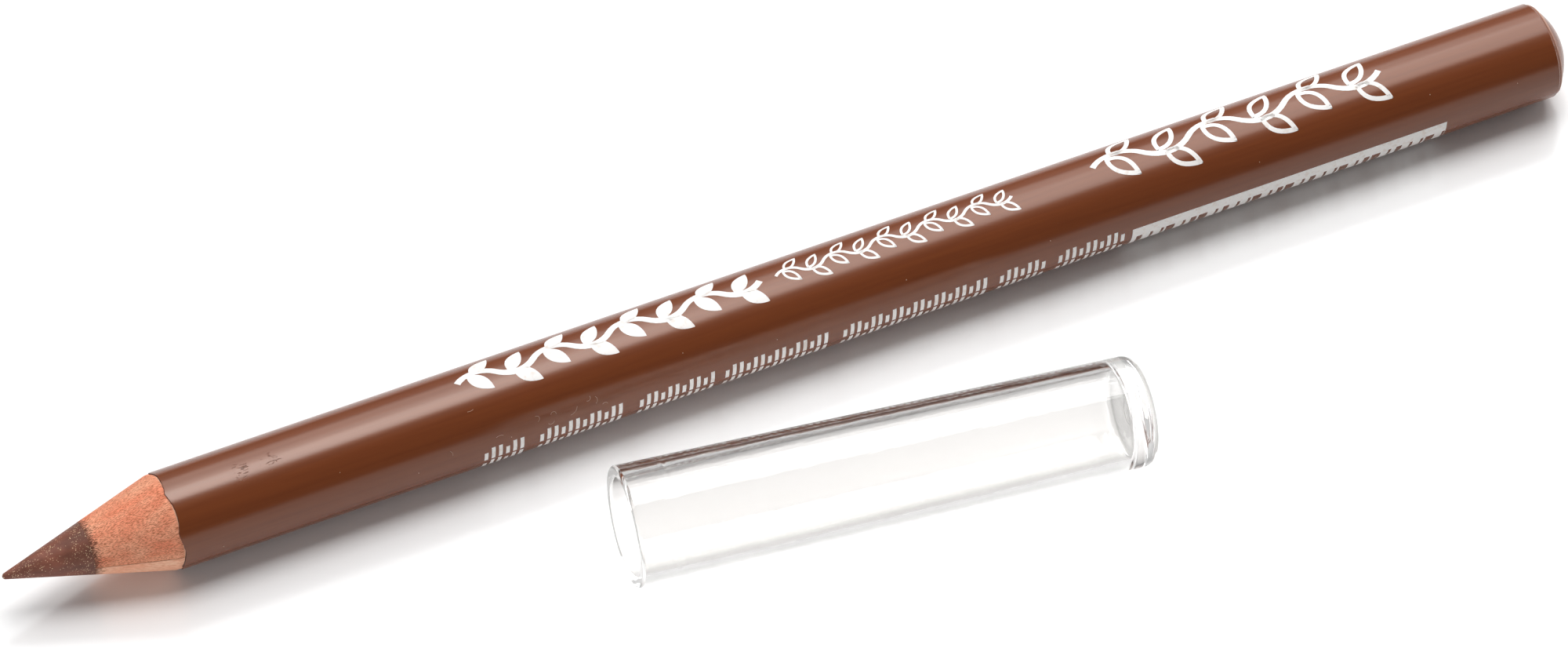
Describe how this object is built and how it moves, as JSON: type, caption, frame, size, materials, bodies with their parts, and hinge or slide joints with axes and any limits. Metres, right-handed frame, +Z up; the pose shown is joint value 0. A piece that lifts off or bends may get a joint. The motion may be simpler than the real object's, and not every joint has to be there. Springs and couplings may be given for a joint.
{
  "type": "eyeliner pencil",
  "caption": "Wooden eyeliner pencil with a sharpened brown lead, glossy brown lacquer and a domed end, lying beside its clear cap.",
  "frame": {"origin": "middle of the whole model's box in X and Y, on the surface that the pencil and its cap lie on", "axes": "+X along the pencil from its point to its domed end, +Y from the cap towards the pencil, +Z up"},
  "size_m": [0.1284, 0.0286, 0.0092],
  "materials": {
    "lead": "soft, slightly waxy, with fine glitter",
    "cedar": "sharpened bare wood",
    "lacquer": "glossy dark brown lacquer",
    "dip": "glossy dip coat over the milled end",
    "clear_cap": "clear, polished moulding"
  },
  "bodies": {
    "root": {"lead": "lead", "casing_upper_half": "cedar", "casing_lower_half": "cedar", "lacquer_coat": "lacquer", "end_dip": "dip", "cap": "clear_cap"}
  },
  "joints": []
}
